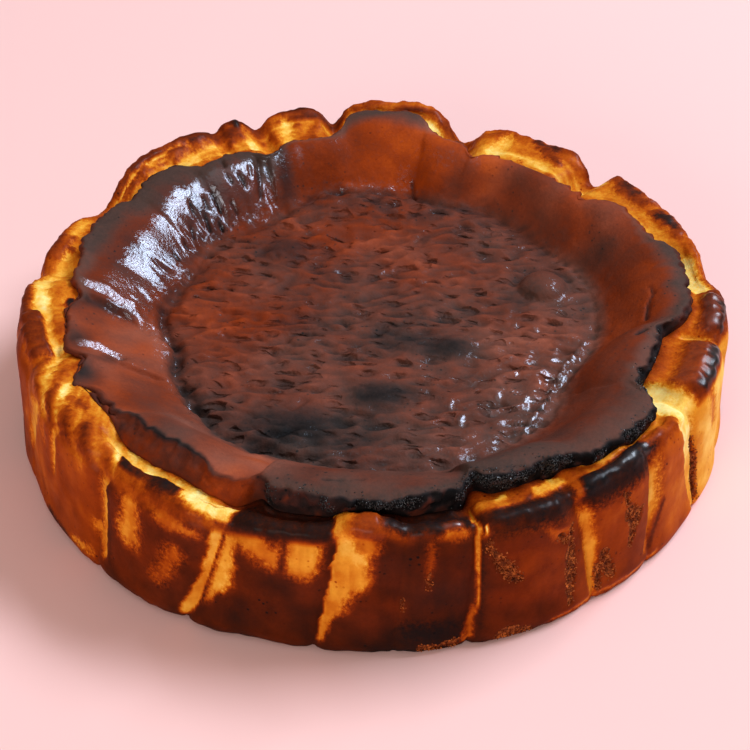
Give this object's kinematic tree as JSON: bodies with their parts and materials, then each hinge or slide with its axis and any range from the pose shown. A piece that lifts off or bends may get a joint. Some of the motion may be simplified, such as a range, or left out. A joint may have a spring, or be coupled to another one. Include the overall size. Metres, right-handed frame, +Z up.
{
  "type": "basque cheesecake",
  "caption": "Whole round burnt cheesecake with a sunken dark top, a broken lip of skin, a cracked golden ring and a creased brown wall.",
  "frame": {"origin": "centre of the base, on the surface the cake stands on", "axes": "+Z up, -Y towards the side that faces the camera in the picture, +X to the right in it"},
  "size_m": [0.2374, 0.2356, 0.0545],
  "materials": {
    "baked_custard": "baked custard, browned on the wall, burnt dark and partly glossy on top, golden in the cracks"
  },
  "bodies": {
    "root": {"cheesecake": "baked_custard"}
  },
  "joints": []
}
